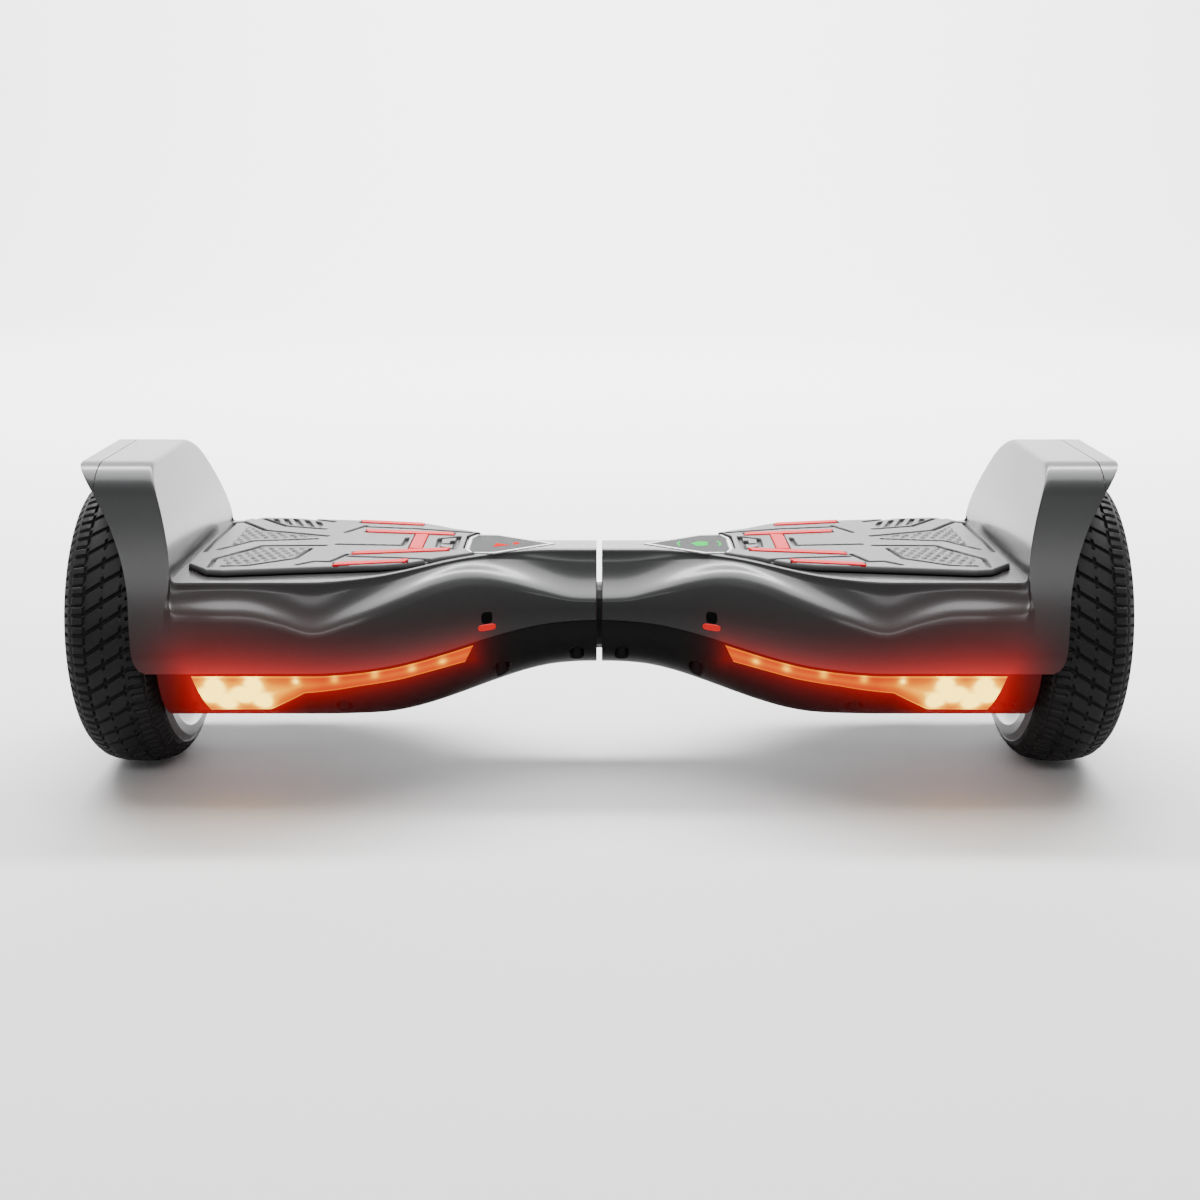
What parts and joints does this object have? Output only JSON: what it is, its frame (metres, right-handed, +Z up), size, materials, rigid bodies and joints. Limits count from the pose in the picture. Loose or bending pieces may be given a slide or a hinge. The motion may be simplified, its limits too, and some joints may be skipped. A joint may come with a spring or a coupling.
{
  "type": "self balancing hoverboard",
  "caption": "Two foot platforms that twist against each other on a central tube, each with a hub-motor wheel, a fender arch, a lit status window and a front light.",
  "frame": {"origin": "on the floor, midway between the two wheels and level with their axle", "axes": "+X along the board to the rider's right, +Y to the rear, +Z up"},
  "size_m": [0.585, 0.186, 0.185],
  "materials": {
    "graphite": "metallic dark grey gloss",
    "black": "satin black",
    "tread": "solid moulded tyre",
    "mat": "moulded matt rubber",
    "red": "satin red",
    "lens": "smoked gloss",
    "amber": "lit lens",
    "circuit": "coated circuit board",
    "alloy": "turned and painted",
    "casting": "die cast",
    "steel": "machined",
    "bronze": "sintered",
    "battery": "shrink wrap",
    "windings": "laminations with enamelled wire",
    "cable": "cable jacket",
    "cap": "soft moulding"
  },
  "bodies": {
    "left_half": {"battery_pack": "battery", "centre_harness": "cable", "left_axle": "steel", "left_axle_clamp": "casting", "left_clamp_bolt_front": "steel", "left_clamp_bolt_rear": "steel", "left_display_board": "circuit", "left_display_lens": "lens", "left_fender_trim": "graphite", "left_frame": "casting", "left_gyro_board": "circuit", "left_inner_bearing": "steel", "left_light_board": "circuit", "left_light_lens": "amber", "left_lower_shell": "black", "left_motor_cable": "cable", "left_outer_bearing": "steel", "left_side_marker": "red", "left_stator": "windings", "left_upper_shell": "graphite", "pivot_collar": "black", "pivot_tube": "steel", "twist_stop": "steel"},
    "right_half": {"charge_socket": "black", "control_board": "circuit", "pivot_bush": "bronze", "right_axle": "steel", "right_axle_clamp": "casting", "right_clamp_bolt_front": "steel", "right_clamp_bolt_rear": "steel", "right_display_board": "circuit", "right_display_lens": "lens", "right_fender_trim": "graphite", "right_frame": "casting", "right_gyro_board": "circuit", "right_inner_bearing": "steel", "right_light_board": "circuit", "right_light_lens": "amber", "right_lower_shell": "black", "right_motor_cable": "cable", "right_outer_bearing": "steel", "right_side_marker": "red", "right_stator": "windings", "right_upper_shell": "graphite", "speaker": "black"},
    "left_wheel": {"left_magnet_ring": "steel", "left_outer_cover": "alloy", "left_rim": "alloy", "left_tyre": "tread"},
    "right_wheel": {"right_magnet_ring": "steel", "right_outer_cover": "alloy", "right_rim": "alloy", "right_tyre": "tread"},
    "left_mat": {"left_foot_mat": "mat", "left_press_plate": "red"},
    "right_mat": {"right_foot_mat": "mat", "right_press_plate": "red"},
    "charge_cap": {"charge_cap": "cap"},
    "power_button": {"power_button": "steel"}
  },
  "joints": [
    {"name": "body_twist", "type": "hinge", "parent": "left_half", "child": "right_half", "pos_m": [0, 0, 0.086], "axis": [1, 0, 0], "range_deg": [-12, 12]},
    {"name": "left_wheel_spin", "type": "hinge", "parent": "left_half", "child": "left_wheel", "pos_m": [-0.26775, 0, 0.086], "axis": [1, 0, 0], "continuous": true},
    {"name": "right_wheel_spin", "type": "hinge", "parent": "right_half", "child": "right_wheel", "pos_m": [0.26775, 0, 0.086], "axis": [1, 0, 0], "continuous": true},
    {"name": "left_mat_press", "type": "slide", "parent": "left_half", "child": "left_mat", "axis": [0, 0, -1], "range_m": [0, 0.0012], "stiffness_N_per_m": 12000},
    {"name": "right_mat_press", "type": "slide", "parent": "right_half", "child": "right_mat", "axis": [0, 0, -1], "range_m": [0, 0.0012], "stiffness_N_per_m": 12000},
    {"name": "power_button_press", "type": "slide", "parent": "right_half", "child": "power_button", "axis": [0, -1, 0], "range_m": [0, 0.0012], "stiffness_N_per_m": 600},
    {"name": "charge_cap_swing", "type": "hinge", "parent": "right_half", "child": "charge_cap", "pos_m": [0.11832, 0.06901, 0.0768], "axis": [1, 0, 0], "range_deg": [0, 70]}
  ]
}
